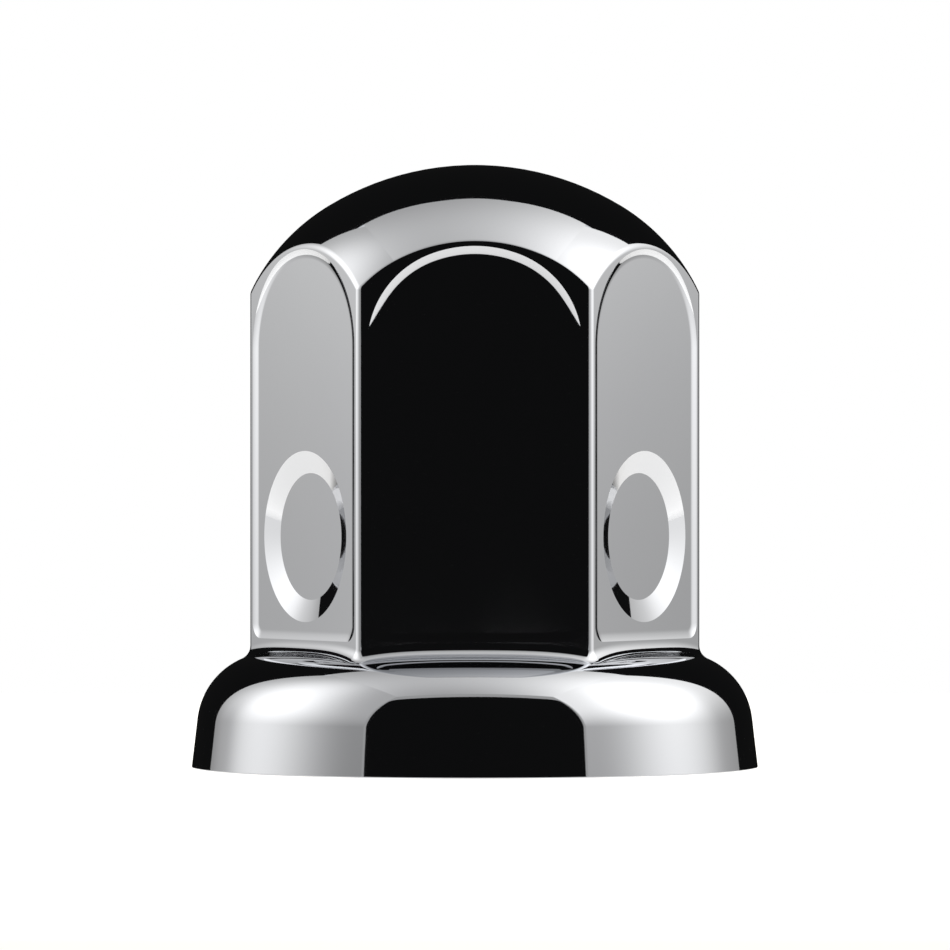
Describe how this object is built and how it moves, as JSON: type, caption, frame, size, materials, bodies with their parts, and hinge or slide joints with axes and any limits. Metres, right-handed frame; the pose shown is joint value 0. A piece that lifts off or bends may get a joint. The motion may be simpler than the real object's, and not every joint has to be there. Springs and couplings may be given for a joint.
{
  "type": "wheel nut cover cap",
  "caption": "Domed hexagonal cap of thin chromed sheet with a round flared flange, pushed over a wheel nut and held by grip dimples pressed into alternate flats.",
  "frame": {"origin": "centre of the rim that rests on the wheel", "axes": "+Z along the nut's axis towards the dome, a plain flat faces -Y, two opposite corners of the hexagon lie on X"},
  "size_m": [0.0512, 0.0512, 0.0544],
  "materials": {
    "nut_cover": "bright polished chrome plate outside, duller plate inside"
  },
  "bodies": {
    "root": {"nut_cover": "nut_cover"}
  },
  "joints": []
}
